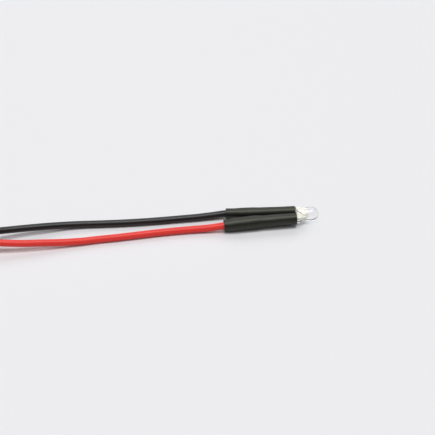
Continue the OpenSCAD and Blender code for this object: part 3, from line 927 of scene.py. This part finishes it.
def sleeve(name, node, run, seed, bow, crease):
    stations = list(np.linspace(STAND_OFF + RIM, run["length"] - RIM, 110))
    rim = [(RIM * math.sin(t), RIM * (1 - math.cos(t))) for t in np.linspace(0.25, math.pi / 2, 4)]
    first, last = stations[0], stations[-1]
    down = [(s, 0) for s in stations] + [(last + f, g) for f, g in rim]
    back = [(last + f, SLEEVE_WALL - g) for f, g in reversed(rim)]
    back += [(s, SLEEVE_WALL) for s in reversed(stations)] + [(first - f, SLEEVE_WALL - g) for f, g in rim]
    back += [(first - f, g) for f, g in reversed(rim)]
    rings = [sleeve_ring(run, s, inset, seed, bow, crease) for s, inset in down + back]
    obj = piece(name, *skin(rings, loop=True), "shrink_sleeve")
    run_uv(obj, [-np.mean(ring, axis=0)[0] for ring in rings], RING_SIDES, math.pi * run["d"])
    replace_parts(obj, node)
    paint(shrunk, obj)
    return obj


cathode_sleeve = sleeve("cathode_shrink_sleeve", "cathode_sleeve", CATHODE, seed=3.0, bow=(-0.05, 0.03),
                        crease=dict(angle=150, width=14, start=3.0, stop=12.0, height=0.03))
anode_sleeve = sleeve("anode_shrink_sleeve", "anode_sleeve", ANODE, seed=8.0, bow=(0.10, -0.07),
                      crease=dict(angle=112, width=6, start=2.9, stop=10.3, height=0.06))

# %% [markdown]
# ## Inside the sleeves
#
# The joints and the resistor are hidden, but they are there, and somebody may cut the sleeves away in
# a picture. The resistor's coat is a dipped lacquer, with four plain rings of colour that give its
# value in the usual code. The rings are a ramp with hard steps along the body.

# %% The resistor and the joints
coat_low, coat_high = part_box("resistor_body")
f = Finish("dipped_lacquer")
along = f.node("ShaderNodeSeparateXYZ", None, {"Vector": place(f)})
share = (along - coat_low[0]) * (1 / (coat_high[0] - coat_low[0]))
lacquer = (.60, .43, .22)
rings = f.node("ShaderNodeValToRGB", {"stops": [
    (0, lacquer), (.17, (.55, .38, .10)), (.25, lacquer), (.42, (.12, .045, .02)), (.50, lacquer),
    (.57, (.16, .05, .24)), (.65, lacquer), (.76, (.75, .42, .03)), (.84, lacquer)]}, {"Fac": share})
drip = grain(f, 0.6)
paint(f.done(f.surface(Base_Color=blend(f, drip * 0.25, rings, (.30, .20, .10)),
                       Roughness=0.28 + 0.15 * drip, Normal=bump(f, drip, 0.02))), nodes["resistor_body"])
paint(tinned, nodes["resistor_front_lead"], nodes["resistor_rear_lead"], nodes["black_wire_strands"],
      nodes["red_wire_strands"])
paint(solder, nodes["cathode_solder"], nodes["anode_solder"], nodes["resistor_solder"])

# %% [markdown]
# ## The floor
#
# A plain pale sheet, a thousandth of a millimetre under the lowest point of the part, large enough
# that its edge is never seen. It is part of the stage and not of the object.

# %% Lay the floor
def flat_sheet(name, z, half):
    mesh = bpy.data.meshes.new(name)
    corners = [(x * half, y * half, z) for x, y in ((-1, -1), (1, -1), (1, 1), (-1, 1))]
    mesh.from_pydata(corners, [], [(0, 1, 2, 3)])
    obj = bpy.data.objects.new(name, mesh)
    bpy.context.scene.collection.objects.link(obj)
    return obj


floor = flat_sheet("studio_floor", (FLOOR - 0.001) * MM, 1.5)
f = Finish("pale_floor")
paint(f.done(f.surface(Base_Color=(0.74, 0.74, 0.76, 1), Roughness=0.6)), floor)

# %% [markdown]
# ## Light
#
# Two soft boxes overhead, one behind and an even room. The long narrow box gives glossy round things
# the thin line of light that shows they are round; the broad one softens the shadows and gives satin
# things their wide, dim sheen. The one behind lights their far edges and the rim of the lens. Lamps
# and room together are set so that a colour renders about as it is written. The pale background is
# the floor's own colour, and the room is as dim to the camera as it is to metal and glass.

# %% Lamps and room
ROOM_LIGHT = 0.18


def soft_box(name, at, target, size, watts):
    data = bpy.data.lights.new(name, "AREA")
    data.shape, data.size, data.size_y, data.energy = "RECTANGLE", size[0] * MM, size[1] * MM, watts
    lamp = bpy.data.objects.new(name, data)
    bpy.context.scene.collection.objects.link(lamp)
    lamp.location = Vector(at) * MM
    lamp.rotation_euler = (Vector(target) - Vector(at)).to_track_quat("-Z", "Y").to_euler()
    print(name, "gives", watts, "W")
    return lamp


soft_box("long_strip_box", (-30, -60, 1260), (-30, 0, 0), (1260, 320), 6.8)
soft_box("broad_soft_box", (-30, -260, 1250), (-30, 0, 0), (1260, 1100), 8.4)
soft_box("back_soft_box", (-30, 1000, 850), (-30, 0, 0), (1400, 700), 6.0)

world = bpy.data.worlds.new("soft_room")
bpy.context.scene.world = world
world.use_nodes = True
background = world.node_tree.nodes["Background"]
background.inputs["Color"].default_value = (1, 1, 1, 1)
background.inputs["Strength"].default_value = ROOM_LIGHT

# %% [markdown]
# ## Finish
#
# The last step sets the view transform to Standard.

# %% Finish
bpy.context.scene.view_settings.view_transform = "Standard"
